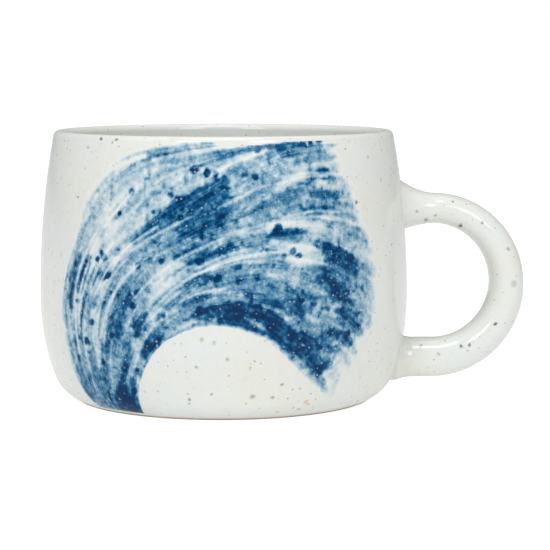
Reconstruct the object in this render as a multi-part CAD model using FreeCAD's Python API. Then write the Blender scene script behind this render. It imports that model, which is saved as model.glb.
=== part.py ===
"""Stoneware mug: a wide thrown cup with a round pulled handle, glazed white over a blue brushed arch.

The mug is built up the way a potter builds one:
  clay_cup           wall, floor and foot ring, thrown in one piece of speckled stoneware
  clay_handle        an oval strap bent into a round loop
  upper_slip_joint   liquid clay pressed into the corner where the handle's top end meets the wall
  lower_slip_joint   the same at the handle's lower end
  cobalt_brushwork   the film of blue pigment brushed over the raw glaze, fused into its surface
  outside_glaze      glassy coat over the outside of the cup, from the glaze line to the lip's crest
  liner_glaze        glassy coat poured into the cup, from the lip's crest to the floor
  handle_glaze       glassy coat over the handle and both slip joints

Frame: millimetres, +Z up, origin on the cup's axis at the plane of its foot ring, handle along +X.
The painted front faces -Y. Every curve of the cup's outline is an arc that runs tangent into the next
one, so a coat of glaze is the same outline with its radii changed by the coat's thickness.
"""

import FreeCAD
import Part
import math
import os

V = FreeCAD.Vector

# ---- the cup, measured over the glaze ------------------------------------------------------------
cup_height = 74.0        # table to the crest of the lip
belly_radius = 51.0      # the wall at its widest
belly_height = 28.5      # where the wall is widest
lip_inset = 4.1          # how far the lip's outer edge stands inside the belly
foot_inset = 9.5         # how far the foot's outer edge stands inside the belly
heel_radius = 11.4       # rounding between wall and foot
heel_angle = 65.0        # degrees from upright at which the heel reaches the foot

# ---- thicknesses ---------------------------------------------------------------------------------
lip_thickness = 3.2      # glazed lip, which is a full round
belly_wall = 4.4         # glazed wall at the belly
floor_thickness = 5.2    # glazed floor over the recess
glaze_thickness = 0.4
pigment_thickness = 0.1

# ---- inside of the cup ---------------------------------------------------------------------------
inner_heel_radius = 10.0  # rounding between the inner wall and the floor
inner_draft = 0.6         # how far the inner wall draws in between belly and heel

# ---- foot ----------------------------------------------------------------------------------------
glaze_line = 0.45        # height at which the outside glaze stops
foot_bevel = 0.5         # bevel on the foot ring's outer edge
foot_ring_width = 4.6    # width of the face that the mug stands on
recess_depth = 1.4       # how far the underside is trimmed out inside the ring
recess_slope = 1.6       # run of the ring's inner flank
trim_ring_count = 4      # shallow grooves left by the trimming tool
trim_ring_depth = 0.15
trim_ring_width = 1.6

# ---- handle, measured over bare clay ---------------------------------------------------------------
handle_top_drop = 21.8        # centre of the upper arm below the lip's crest
handle_bottom_rise = 10.4     # centre of the lower arm above the table
handle_arm = 7.0              # straight part of each arm beyond the belly
handle_top_thickness = 7.5    # in the plane of the loop
handle_bottom_thickness = 10.2
handle_top_width = 11.8       # across the loop
handle_bottom_width = 13.2
handle_squareness = 2.3       # exponent of the oval section; 2 is an ellipse

# ---- slip joints ---------------------------------------------------------------------------------
upper_flare = 2.9        # how far the slip spreads on the wall around the handle
upper_slip_length = 8.0  # how far it runs out along the handle
upper_lift = 0.7         # how far the thumb that smoothed it pushed it up the wall
lower_flare = 1.0
lower_slip_length = 4.0
lower_lift = 0.3
slip_edge = 0.15         # thickness of the slip where it ends on the handle

# ---- brushwork, seen from the front as (X, Z) -------------------------------------------------------
# Three arcs from the foot at the left, up and over under the lip, and down to the foot at the right,
# each given by its ends and a point between them, and one arc over the white opening.
stroke_outline = ((-35, 3), (-43, 30), (-34, 62), (-12, 71), (29, 71.5), (41.5, 45), (37, 5))
opening_outline = ((25, 3), (1, 26), (-22, 3))

section_points = 16      # points that carry each oval section
bend_sections = 9        # oval sections around the handle's bend


def on_plane(r, z):
    """A point of the cup's outline, in the half plane through the axis and the handle."""
    return V(r, 0, z)


def arc(centre, radius, start, end):
    """Arc about (r, z) centre from one angle to another, in degrees, 0 pointing away from the axis."""
    def at(angle):
        a = math.radians(angle)
        return on_plane(centre[0] + radius * math.cos(a), centre[1] + radius * math.sin(a))
    return Part.Arc(at(start), at((start + end) / 2), at(end)).toShape()


def line(a, b):
    return Part.makeLine(on_plane(*a), on_plane(*b))


def point(centre, radius, angle):
    a = math.radians(angle)
    return (centre[0] + radius * math.cos(a), centre[1] + radius * math.sin(a))


def flank_arc(belly, height, heel_centre, heel):
    """Centre, radius and end angle of the arc that is upright at (belly, height) and runs into the heel."""
    across = belly - heel_centre[0]
    up = height - heel_centre[1]
    radius = (across**2 + up**2 - heel**2) / (2 * (across - heel))
    return (belly - radius, height), radius, -math.degrees(math.asin(up / (radius - heel)))


class Outline:
    """The cup's finished outline, outside and inside, as centres, radii and angles of tangent arcs."""

    def __init__(self):
        lip = lip_thickness / 2
        self.lip_radius = lip
        self.lip_centre = (belly_radius - lip_inset - lip, cup_height - lip)
        rise = self.lip_centre[1] - belly_height

        # outside, belly to lip: the arc is upright at the belly and tangent to the lip's round
        self.outer_lean = 2 * math.degrees(math.atan(lip_inset / rise))
        self.outer_radius = rise / math.sin(math.radians(self.outer_lean)) + lip
        self.outer_centre = (belly_radius - self.outer_radius, belly_height)

        # inside, belly to lip: the lip's round lies outside this arc
        self.inner_belly = belly_radius - belly_wall
        draw = self.inner_belly + lip - self.lip_centre[0]
        self.inner_lean = 2 * math.degrees(math.atan(draw / rise))
        self.inner_radius = rise / math.sin(math.radians(self.inner_lean)) - lip
        self.inner_centre = (self.inner_belly - self.inner_radius, belly_height)

        # outside, belly to foot
        turn = math.radians(heel_angle)
        self.foot_radius = belly_radius - foot_inset
        self.heel_centre = (self.foot_radius - heel_radius * math.cos(turn),
                            glaze_line + heel_radius * math.sin(turn))
        self.flank = flank_arc(belly_radius, belly_height, self.heel_centre, heel_radius)

        # inside, belly to floor
        self.floor_top = recess_depth + floor_thickness
        self.inner_heel_centre = (self.inner_belly - inner_draft - inner_heel_radius,
                                  self.floor_top + inner_heel_radius)
        self.inner_flank = flank_arc(self.inner_belly, belly_height, self.inner_heel_centre,
                                     inner_heel_radius)

    def outside(self, inset):
        """Edges from the foot up to the lip's crest, this far under the finished surface."""
        flank_centre, flank_radius, flank_end = self.flank
        return [
            arc(self.heel_centre, heel_radius - inset, -heel_angle, flank_end),
            arc(flank_centre, flank_radius - inset, flank_end, 0),
            arc(self.outer_centre, self.outer_radius - inset, 0, self.outer_lean),
            arc(self.lip_centre, self.lip_radius - inset, self.outer_lean, 90),
        ]

    def inside(self, inset):
        """Edges from the lip's crest down to the middle of the floor, this far under the surface."""
        flank_centre, flank_radius, flank_end = self.inner_flank
        heel = inner_heel_radius + inset
        floor_edge = point(self.inner_heel_centre, heel, -90)
        return [
            arc(self.lip_centre, self.lip_radius - inset, 90, 180 + self.inner_lean),
            arc(self.inner_centre, self.inner_radius + inset, self.inner_lean, 0),
            arc(flank_centre, flank_radius + inset, 0, flank_end),
            arc(self.inner_heel_centre, heel, flank_end, -90),
            line(floor_edge, (0, floor_edge[1])),
        ]

    def foot_end(self, inset):
        return point(self.heel_centre, heel_radius - inset, -heel_angle)

    def crest(self, inset):
        return (self.lip_centre[0], cup_height - inset)

    def wall_radius(self, z):
        """Outer radius of the bare clay at height z, on the two arcs either side of the belly."""
        centre, radius = (self.outer_centre, self.outer_radius) if z > belly_height else self.flank[:2]
        return centre[0] + math.sqrt((radius - glaze_thickness)**2 - (z - centre[1])**2)


outline = Outline()


def revolve(edges):
    """Solid of revolution about the cup's axis from edges that close on themselves."""
    face = Part.Face(Part.Wire(Part.__sortEdges__(edges)))
    return face.revolve(V(0, 0, 0), V(0, 0, 1), 360)


def filled_cup(inset):
    """The cup as a solid block up to its lip, to cut away whatever ends on the wall."""
    foot, crest = outline.foot_end(inset), outline.crest(inset)
    return revolve(outline.outside(inset) + [
        line(crest, (0, crest[1])),
        line((0, crest[1]), (0, foot[1])),
        line((0, foot[1]), foot),
    ])


def underside():
    """Edges from the axis out to the clay's foot end: the trimmed recess, ring face and bevel."""
    start = outline.foot_end(glaze_thickness)
    ring_outer = outline.foot_radius - foot_bevel
    ring_inner = ring_outer - foot_ring_width
    recess_edge = ring_inner - recess_slope
    pitch = recess_edge / (trim_ring_count + 1)
    edges = []
    last = (0, recess_depth)
    for ring in range(1, trim_ring_count + 1):
        middle = ring * pitch
        near, far = middle - trim_ring_width / 2, middle + trim_ring_width / 2
        edges.append(line(last, (near, recess_depth)))
        edges.append(Part.Arc(on_plane(near, recess_depth),
                              on_plane(middle, recess_depth + trim_ring_depth),
                              on_plane(far, recess_depth)).toShape())
        last = (far, recess_depth)
    corners = [last, (recess_edge, recess_depth), (ring_inner, 0), (ring_outer, 0), start]
    edges += [line(a, b) for a, b in zip(corners, corners[1:])]
    return edges


def clay_cup():
    floor = outline.floor_top - glaze_thickness
    return revolve(underside() + outline.outside(glaze_thickness) + outline.inside(glaze_thickness)
                   + [line((0, floor), (0, recess_depth))])


def coat(side, ends):
    """A coat of glaze on one side of the cup: its two surfaces and the edges that join their ends."""
    return revolve(side(0) + side(glaze_thickness) + [line(end(0), end(glaze_thickness)) for end in ends])


def floor_middle(inset):
    return (0, outline.floor_top - inset)


# ---- handle --------------------------------------------------------------------------------------
top_z = cup_height - handle_top_drop
bottom_z = handle_bottom_rise
loop_radius = (top_z - bottom_z) / 2
loop_x = belly_radius + handle_arm
loop_z = (top_z + bottom_z) / 2
root_x = belly_radius - belly_wall - lip_inset   # well inside the wall, where the cup cuts the handle off


def oval(x, z, tilt, half_thickness, half_width):
    """Closed oval wire across the handle. Tilt is the angle of its thickness direction from +Z."""
    out = V(math.sin(tilt), 0, math.cos(tilt))
    across = V(0, 1, 0)
    power = 2 / handle_squareness
    points = []
    for i in range(section_points):
        a = 2 * math.pi * i / section_points
        s, c = math.sin(a), math.cos(a)
        points.append(V(x, 0, z)
                      + out * (half_thickness * math.copysign(abs(s)**power, s))
                      + across * (half_width * math.copysign(abs(c)**power, c)))
    curve = Part.BSplineCurve()
    curve.interpolate(Points=points, PeriodicFlag=True)
    return Part.Wire(curve.toShape())


def arm_section(x, z, grow, share):
    """Section of a straight arm, share 0 being the handle's top end and 1 its lower end."""
    thickness = handle_top_thickness + share * (handle_bottom_thickness - handle_top_thickness)
    width = handle_top_width + share * (handle_bottom_width - handle_top_width)
    tilt = 0 if z > loop_z else math.pi
    return oval(x, z, tilt, thickness / 2 + grow, width / 2 + grow)


def handle_block(grow):
    """The whole handle as one bent bar, running on into the cup's wall at both ends."""
    wires = [arm_section(root_x, top_z, grow, 0), arm_section((root_x + loop_x) / 2, top_z, grow, 0)]
    for i in range(bend_sections):
        share = i / (bend_sections - 1)
        tilt = share * math.pi
        thickness = handle_top_thickness + share * (handle_bottom_thickness - handle_top_thickness)
        width = handle_top_width + share * (handle_bottom_width - handle_top_width)
        wires.append(oval(loop_x + loop_radius * math.sin(tilt), loop_z + loop_radius * math.cos(tilt),
                          tilt, thickness / 2 + grow, width / 2 + grow))
    wires += [arm_section((root_x + loop_x) / 2, bottom_z, grow, 1), arm_section(root_x, bottom_z, grow, 1)]
    return Part.makeLoft(wires, True, False)


def slip_block(z, share, flare, length, lift, grow):
    """Slip around one arm: widest on the wall, falling away along the arm in a hollow curve."""
    wall = outline.wall_radius(z)
    wires = [arm_section(root_x, z + lift, flare + grow, share)]
    for run in (0.0, 0.15, 0.35, 0.6, 1.0):
        fall = (1 - run)**2
        spread = slip_edge + (flare - slip_edge) * fall
        wires.append(arm_section(wall + run * length, z + lift * fall, spread + grow, share))
    return Part.makeLoft(wires, True, False)


def handle_blocks(grow):
    return [
        handle_block(grow),
        slip_block(top_z, 0, upper_flare, upper_slip_length, upper_lift, grow),
        slip_block(bottom_z, 1, lower_flare, lower_slip_length, lower_lift, grow),
    ]


# ---- brushwork -----------------------------------------------------------------------------------
def brush_prism():
    """The painted arch as seen from the front, pushed back to the cup's axis."""
    front = -2 * belly_radius
    outer = [V(x, front, z) for x, z in stroke_outline]
    opening = [V(x, front, z) for x, z in opening_outline]
    edges = [Part.Arc(*outer[i:i + 3]).toShape() for i in (0, 2, 4)]
    edges.append(Part.makeLine(outer[-1], opening[0]))
    edges.append(Part.Arc(*opening).toShape())
    edges.append(Part.makeLine(opening[-1], outer[0]))
    return Part.Face(Part.Wire(edges)).extrude(V(0, -front, 0))


def build():
    """Every piece by its name."""
    clay = filled_cup(glaze_thickness)
    handle, upper_slip, lower_slip = handle_blocks(0)
    handle_clay = handle.cut(clay)
    joint_blocks = [handle, upper_slip, lower_slip]

    film = filled_cup(0).cut(filled_cup(pigment_thickness)).common(brush_prism())
    outside = coat(outline.outside, [outline.foot_end, outline.crest])
    glazed_handle = handle_blocks(glaze_thickness)
    handle_coat = glazed_handle[0].multiFuse(glazed_handle[1:]).cut(joint_blocks + [filled_cup(0)])

    return {
        "clay_cup": clay_cup(),
        "clay_handle": handle_clay,
        "upper_slip_joint": upper_slip.cut([handle, clay]),
        "lower_slip_joint": lower_slip.cut([handle, clay]),
        "cobalt_brushwork": film,
        "outside_glaze": outside.cut(joint_blocks + [film]),
        "liner_glaze": coat(outline.inside, [outline.crest, floor_middle]),
        "handle_glaze": handle_coat,
    }


os.makedirs("parts", exist_ok=True)
for name, shape in build().items():
    solids = shape.Solids
    print(f"{name}: {len(solids)} solid(s), {sum(s.Volume for s in solids) / 1000:.2f} cm3,"
          f" valid {all(s.isValid() for s in solids)}")
    Part.Compound(solids).exportStep(f"parts/{name}.step")
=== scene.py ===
# %% [markdown]
# # A stoneware mug with a brushed cobalt arch
# The mug is thrown and pulled by hand, dipped in a white glaze and brushed with cobalt before its one
# firing. This lesson builds what the eye sees of it in Blender, around the exact CAD model: the turned
# walls and the bent handle come from Geometry Nodes, the brushwork is painted onto a fine mesh by numpy,
# and every finish is a node material. Everything is in metres, in the frame of the CAD model: the cup's
# axis is Z, the painted front faces -Y and the handle points along +X.

# %% Load the frame
import bmesh
import bpy
import math
import numpy as np
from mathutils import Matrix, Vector


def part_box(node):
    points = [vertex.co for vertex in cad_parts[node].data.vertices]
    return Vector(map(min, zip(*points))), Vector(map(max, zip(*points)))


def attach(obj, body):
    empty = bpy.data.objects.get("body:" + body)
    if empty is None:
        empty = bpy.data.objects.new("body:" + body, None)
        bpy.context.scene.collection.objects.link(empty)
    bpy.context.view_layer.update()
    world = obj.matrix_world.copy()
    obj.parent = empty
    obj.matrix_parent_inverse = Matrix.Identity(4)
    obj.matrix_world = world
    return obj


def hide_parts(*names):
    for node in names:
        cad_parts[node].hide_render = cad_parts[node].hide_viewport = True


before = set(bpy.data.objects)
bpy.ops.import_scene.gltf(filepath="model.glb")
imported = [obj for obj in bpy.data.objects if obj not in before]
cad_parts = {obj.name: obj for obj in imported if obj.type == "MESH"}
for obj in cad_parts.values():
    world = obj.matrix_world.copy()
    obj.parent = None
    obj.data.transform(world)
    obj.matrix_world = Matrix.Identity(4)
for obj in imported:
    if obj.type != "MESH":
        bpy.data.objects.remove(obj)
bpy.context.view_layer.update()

MM = 0.001

# %% [markdown]
# ## Small helpers
# Colours are written as the sRGB hex values that a colour picker shows, but shaders work in linear light,
# so one function converts them. A second one adds a node to any tree with its settings and its links,
# and a few short ones on top of it stand for the nodes that every tree uses, which keeps trees readable.

# %% Colour and node helpers
def linear(hex_colour):
    """Linear RGBA of an sRGB hex colour such as "E4E6E1"."""
    parts = [int(hex_colour[i:i + 2], 16) / 255 for i in (0, 2, 4)]
    return tuple(c / 12.92 if c <= 0.04045 else ((c + 0.055) / 1.055)**2.4 for c in parts) + (1.0,)


def add(tree, kind, links=None, **settings):
    """Add a node. Links maps its input sockets to a value or to the socket that feeds them."""
    made = tree.nodes.new(kind)
    for name, value in settings.items():
        setattr(made, name, value)
    for socket, value in (links or {}).items():
        if isinstance(value, bpy.types.NodeSocket):
            tree.links.new(value, made.inputs[socket])
        else:
            made.inputs[socket].default_value = value
    return made


def calc(tree, operation, *values, clamp=False):
    """Result of one sum, each value being a number or a socket."""
    values = dict(enumerate(values))
    return add(tree, "ShaderNodeMath", values, operation=operation, use_clamp=clamp).outputs[0]


def vector_calc(tree, operation, *values, **named):
    """Result of one sum of vectors."""
    values = {**dict(enumerate(values)), **named}
    return add(tree, "ShaderNodeVectorMath", values, operation=operation).outputs[0]


def combine(tree, x, y, z):
    return add(tree, "ShaderNodeCombineXYZ", {"X": x, "Y": y, "Z": z}).outputs[0]


def separate(tree, vector):
    return add(tree, "ShaderNodeSeparateXYZ", {0: vector}).outputs


def noise(tree, place, size, detail=2.0, output=0, **inputs):
    """Noise with features of this size."""
    inputs = {"Vector": place, "Scale": 1 / size, "Detail": detail, **inputs}
    return add(tree, "ShaderNodeTexNoise", inputs).outputs[output]


def remap(tree, value, start, end, low=0.0, high=1.0, **settings):
    """Value moved from the range start to end into the range low to high, and held inside it."""
    inputs = {"Value": value, "From Min": start, "From Max": end, "To Min": low, "To Max": high}
    return add(tree, "ShaderNodeMapRange", inputs, **settings).outputs[0]


def mix_colours(tree, factor, first, second):
    """Mix of two colours, each a socket or a value."""
    return add(tree, "ShaderNodeMix", {0: factor, 6: first, 7: second}, data_type="RGBA").outputs[2]


def finish_with(tree, colour, **inputs):
    """Principled surface of this colour as the material's finish."""
    inputs = {name.replace("_", " "): value for name, value in inputs.items()}
    shader = add(tree, "ShaderNodeBsdfPrincipled", {"Base Color": colour, **inputs})
    add(tree, "ShaderNodeOutputMaterial", {"Surface": shader.outputs[0]})


print("white glaze in linear light", linear("E4E6E1"))

# %% [markdown]
# ## The cup's outline
# A thrown cup is a surface of revolution, so its whole shape is one line in the plane through its axis.
# The line is five arcs that run tangent into each other: the heel, the flank, the wall above the belly and
# the full round of the lip, and the same again inside. A coat of glaze is the same line with its radii
# changed by the coat's thickness. The overall sizes are read from the frame, the rest are named here.

# %% Sizes
low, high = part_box("outside_glaze")
cup_height = high.z / MM
belly_radius = -low.x / MM
glaze_line = low.z / MM
belly_height = 28.5
lip_inset = 4.1
foot_inset = 9.5
heel_radius = 11.4
heel_angle = 65.0
lip_radius = 1.6
belly_wall = 4.4
inner_heel_radius = 10.0
inner_draft = 0.6
glaze = 0.4
film = 0.1
floor_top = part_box("liner_glaze")[0].z / MM + glaze
recess_depth = 1.4
foot_bevel = 0.5
foot_ring_width = 4.6
recess_slope = 1.6
print(f"cup {cup_height:.1f} mm high, belly radius {belly_radius:.1f}, floor at {floor_top:.1f}")

# %% Arcs of the outline
lip_centre = (belly_radius - lip_inset - lip_radius, cup_height - lip_radius)
rise = lip_centre[1] - belly_height
heel_turn = math.radians(heel_angle)
heel_centre = (belly_radius - foot_inset - heel_radius * math.cos(heel_turn),
               glaze_line + heel_radius * math.sin(heel_turn))
inner_belly = belly_radius - belly_wall
inner_heel_centre = (inner_belly - inner_draft - inner_heel_radius, floor_top + inner_heel_radius)


def leaning_arc(belly, draw, lip):
    """Centre, radius and lean of the arc that is upright at the belly and tangent to the lip's round."""
    lean = 2 * math.atan(draw / rise)
    radius = rise / math.sin(lean) + lip
    return (belly - radius, belly_height), radius, math.degrees(lean)


def flank_arc(belly, heel_middle, heel):
    """Centre, radius and end angle of the arc that is upright at the belly and tangent to the heel."""
    across, up = belly - heel_middle[0], belly_height - heel_middle[1]
    radius = (across**2 + up**2 - heel**2) / (2 * (across - heel))
    return (belly - radius, belly_height), radius, -math.degrees(math.asin(up / (radius - heel)))


wall_arc = leaning_arc(belly_radius, lip_inset, lip_radius)
inner_arc = leaning_arc(inner_belly, inner_belly + lip_radius - lip_centre[0], -lip_radius)
flank = flank_arc(belly_radius, heel_centre, heel_radius)
inner_flank = flank_arc(inner_belly, inner_heel_centre, inner_heel_radius)


def arc_points(centre, radius, start, end, pitch):
    """Points along an arc, in degrees from the outward direction, about one pitch apart."""
    count = max(2, math.ceil(abs(math.radians(end - start)) * radius / pitch))
    angles = np.radians(np.linspace(start, end, count + 1))
    return np.column_stack([centre[0] + radius * np.cos(angles), centre[1] + radius * np.sin(angles)])


def join(*runs):
    """One line of points from several runs, without the doubled points where they meet."""
    points = np.vstack(runs)
    step = np.linalg.norm(np.diff(points, axis=0), axis=1)
    return points[np.concatenate([[True], step > 1e-6])]


def outside_line(inset, pitch, lip_pitch=0.12, past_crest=90.0):
    """Foot to lip, this far under the finished surface. Past_crest is where it stops on the lip's round."""
    return join(arc_points(heel_centre, heel_radius - inset, -heel_angle, flank[2], pitch * 0.6),
                arc_points(flank[0], flank[1] - inset, flank[2], 0, pitch),
                arc_points(wall_arc[0], wall_arc[1] - inset, 0, wall_arc[2], pitch),
                arc_points(lip_centre, lip_radius - inset, wall_arc[2], past_crest, lip_pitch))


def inside_line(inset, pitch, lip_pitch=0.12, from_crest=90.0):
    """Lip to the middle of the floor, this far under the finished surface."""
    heel = inner_heel_radius + inset
    floor = floor_top - inset
    edge = inner_heel_centre[0]
    across = np.linspace(edge, 0, max(2, math.ceil(edge / pitch)) + 1)
    return join(arc_points(lip_centre, lip_radius - inset, from_crest, 180 + inner_arc[2], lip_pitch),
                arc_points(inner_arc[0], inner_arc[1] + inset, inner_arc[2], 0, pitch),
                arc_points(inner_flank[0], inner_flank[1] + inset, 0, inner_flank[2], pitch),
                arc_points(inner_heel_centre, heel, inner_flank[2], -90, pitch),
                np.column_stack([across, np.full(len(across), floor)]))


def wall_radius(z):
    """Radius of the finished wall at heights z, in mm."""
    z = np.asarray(z, float)
    upper = wall_arc[0][0] + np.sqrt(np.maximum(wall_arc[1]**2 - (z - belly_height)**2, 0))
    lower = flank[0][0] + np.sqrt(np.maximum(flank[1]**2 - (z - belly_height)**2, 0))
    heel = heel_centre[0] + np.sqrt(np.maximum(heel_radius**2 - (z - heel_centre[1])**2, 0))
    heel_end = heel_centre[1] + heel_radius * math.sin(math.radians(flank[2]))
    return np.where(z > belly_height, upper, np.where(z > heel_end, lower, heel))


print(f"wall radius at the foot, belly and lip: {np.round(wall_radius([1, belly_height, 72]), 2)} mm")

# %% [markdown]
# ## Turning a line into a wall
# Blender could turn the line with its Screw modifier, but a potter's wall is never quite round. Geometry
# Nodes let one tree turn every line of the mug and push all of them out and in by the same slow wave, so
# that the clay, the glaze and the brushwork stay nested. The tree lays out a flat grid, takes each row's
# radius and height from the matching point of the line, and bends the row around the axis.

# %% The lathe tree
UNDULATION = 0.07 * MM      # how far the thrown wall swells and sinks
WAVE_LENGTH = 26 * MM       # size of the swells
FOOT_FADE, LIP_FADE, AXIS_FADE = (2, 14), (72, 62), (35, 42)    # mm over which they come in


def new_tree(name, sockets):
    """A Geometry Nodes tree with a geometry going in and out and these named inputs."""
    tree = bpy.data.node_groups.new(name, "GeometryNodeTree")
    tree.interface.new_socket("Geometry", in_out="INPUT", socket_type="NodeSocketGeometry")
    for socket, kind in sockets.items():
        tree.interface.new_socket(socket, in_out="INPUT", socket_type="NodeSocket" + kind)
    tree.interface.new_socket("Geometry", in_out="OUTPUT", socket_type="NodeSocketGeometry")
    return tree, add(tree, "NodeGroupInput").outputs


def finish_tree(tree, geometry, material):
    """Smooth the faces, make them real, give them their finish and send them out."""
    merged = add(tree, "GeometryNodeMergeByDistance", {"Geometry": geometry, "Distance": 2e-6})
    smooth = add(tree, "GeometryNodeSetShadeSmooth", {0: merged.outputs[0]})
    real = add(tree, "GeometryNodeRealizeInstances", {0: smooth.outputs[0]})
    finish = add(tree, "GeometryNodeSetMaterial", {"Geometry": real.outputs[0], "Material": material})
    add(tree, "NodeGroupOutput", {0: finish.outputs[0]})


lathe, given = new_tree("lathe", {"Columns": "Int", "Rows": "Int", "Start Angle": "Float",
                                  "End Angle": "Float", "Undulation": "Float", "Material": "Material"})
grid = add(lathe, "GeometryNodeMeshGrid", {"Size X": 1.0, "Size Y": 1.0, "Vertices X": given["Columns"],
                                           "Vertices Y": given["Rows"]})
grid_place = add(lathe, "GeometryNodeInputPosition").outputs[0]
place = separate(lathe, grid_place)
around = calc(lathe, "ADD", place["X"], 0.5)
last_row = calc(lathe, "SUBTRACT", given["Rows"], 1)
row = calc(lathe, "ROUND", calc(lathe, "MULTIPLY", calc(lathe, "ADD", place["Y"], 0.5), last_row))
line_point = add(lathe, "GeometryNodeSampleIndex", {"Geometry": given["Geometry"], "Value": grid_place,
                 "Index": row}, data_type="FLOAT_VECTOR", domain="POINT")
line_place = separate(lathe, line_point.outputs[0])
swing = calc(lathe, "SUBTRACT", given["End Angle"], given["Start Angle"])
angle = calc(lathe, "MULTIPLY_ADD", around, swing, given["Start Angle"])
sine, cosine = calc(lathe, "SINE", angle), calc(lathe, "COSINE", angle)
height = line_place["Z"]

# The swells are read on a cylinder around the axis, so every coat gets the same ones. They fade out at the
# foot and at the lip, where the coats meet, and towards the middle of the floor.
swells = noise(lathe, combine(lathe, calc(lathe, "MULTIPLY", sine, belly_radius * MM),
                              calc(lathe, "MULTIPLY", cosine, belly_radius * MM), height), WAVE_LENGTH, 1.0)
fade = 1.0
for value, (start, end) in ((height, FOOT_FADE), (height, LIP_FADE), (line_place["X"], AXIS_FADE)):
    share = remap(lathe, value, start * MM, end * MM, interpolation_type="SMOOTHSTEP")
    fade = calc(lathe, "MULTIPLY", share, fade)
push = calc(lathe, "MULTIPLY", calc(lathe, "SUBTRACT", swells, 0.5), given["Undulation"])
radius = calc(lathe, "MULTIPLY_ADD", push, fade, line_place["X"])
turned = combine(lathe, calc(lathe, "MULTIPLY", radius, sine),
                 calc(lathe, "MULTIPLY", calc(lathe, "MULTIPLY", radius, cosine), -1.0), height)
bent = add(lathe, "GeometryNodeSetPosition", {"Geometry": grid.outputs["Mesh"], "Position": turned})
finish_tree(lathe, bent.outputs[0], given["Material"])
print("lathe tree:", len(lathe.nodes), "nodes")

# %% Running a tree on a line
def run_tree(name, tree, points, inputs):
    """A plain mesh object from a line of (x, y, z) points in metres and a tree that shapes it."""
    line_mesh = bpy.data.meshes.new(name + "_line")
    line_mesh.from_pydata([tuple(p) for p in points], [(i, i + 1) for i in range(len(points) - 1)], [])
    holder = bpy.data.objects.new(name + "_line", line_mesh)
    bpy.context.collection.objects.link(holder)
    modifier = holder.modifiers.new(tree.name, "NODES")
    modifier.node_group = tree
    for socket in tree.interface.items_tree:
        if socket.in_out == "INPUT" and socket.name in inputs:
            modifier[socket.identifier] = inputs[socket.name]
    evaluated = holder.evaluated_get(bpy.context.evaluated_depsgraph_get())
    mesh = bpy.data.meshes.new_from_object(evaluated)
    bpy.data.objects.remove(holder)
    bpy.data.meshes.remove(line_mesh)
    mesh.name = name
    piece = bpy.data.objects.new(name, mesh)
    bpy.context.collection.objects.link(piece)
    return piece


def turn(name, line, columns, material, start=-180.0, end=180.0):
    """Turn a line of (radius, height) points in mm about the axis, between two angles from the front."""
    points = np.column_stack([line[:, 0], np.zeros(len(line)), line[:, 1]]) * MM
    return run_tree(name, lathe, points, {
        "Columns": columns, "Rows": len(line), "Start Angle": math.radians(start),
        "End Angle": math.radians(end), "Undulation": UNDULATION * 2, "Material": material})


def face_outwards(piece):
    """Turn a closed mesh's faces outwards if its volume comes out negative."""
    mesh = piece.data
    mesh.calc_loop_triangles()
    corners = np.empty(len(mesh.loop_triangles) * 3, int)
    mesh.loop_triangles.foreach_get("vertices", corners)
    places = np.empty(len(mesh.vertices) * 3)
    mesh.vertices.foreach_get("co", places)
    a, b, c = places.reshape(-1, 3)[corners.reshape(-1, 3)].transpose(1, 0, 2)
    volume = np.einsum("ij,ij->i", a, np.cross(b, c)).sum() / 6
    if volume < 0:
        mesh.flip_normals()
    mesh.set_sharp_from_angle(angle=math.radians(50))
    print(f"{piece.name}: {len(mesh.loop_triangles)} triangles, {abs(volume) * 1e6:.2f} cm3")


print("trees run on lines of points")

# %% [markdown]
# ## White speckled glaze
# The glaze is a milky white glass about 0.4 mm thick over a clay that carries iron grit. In the firing the
# grit bleeds up through the glass as tan and grey specks, some with a yellowish halo, and the glass is a
# little warmer where it is thin and greener where it pools. It could be one noisy colour, but the specks
# have a real size, so they come from Voronoi cells whose points lie near the surface by chance, as grit
# does. The same function colours the bare glaze and the brushwork, so the two meet without a seam.

# %% Glaze colour
GLASS_IOR = 1.5
GLASS_SHINE = 0.5           # the shine of clear glass
STAIN_SHINE = 0.12          # the stain dulls it
GLAZE_WHITE = linear("E1E4E2")
GLAZE_WARM = linear("E3E4DB")
GLAZE_THIN = linear("D6D8D4")
IRON_TAN = linear("94825F")
IRON_DARK = linear("4B4439")
HALO = linear("D3C9A2")


def specks(tree, place, spacing, radius, share, colour, base, soften=0.4, strength=1.0):
    """Lay grit of one size over a base colour: spacing and radius in mm, share of the cells that carry it."""
    cells = add(tree, "ShaderNodeTexVoronoi", {"Vector": place, "Scale": 1 / (spacing * MM)})
    size = radius / spacing
    spot = remap(tree, cells.outputs["Distance"], size, size * (1 - soften))
    pick = add(tree, "ShaderNodeSeparateColor", {0: cells.outputs["Color"]})
    chosen = calc(tree, "LESS_THAN", pick.outputs[0], share)
    depth = calc(tree, "MULTIPLY_ADD", pick.outputs[1], 0.6, 0.4)
    cover = calc(tree, "MULTIPLY", calc(tree, "MULTIPLY", spot, chosen), depth)
    cover = calc(tree, "MULTIPLY", cover, strength)
    return mix_colours(tree, cover, base, colour)


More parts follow.
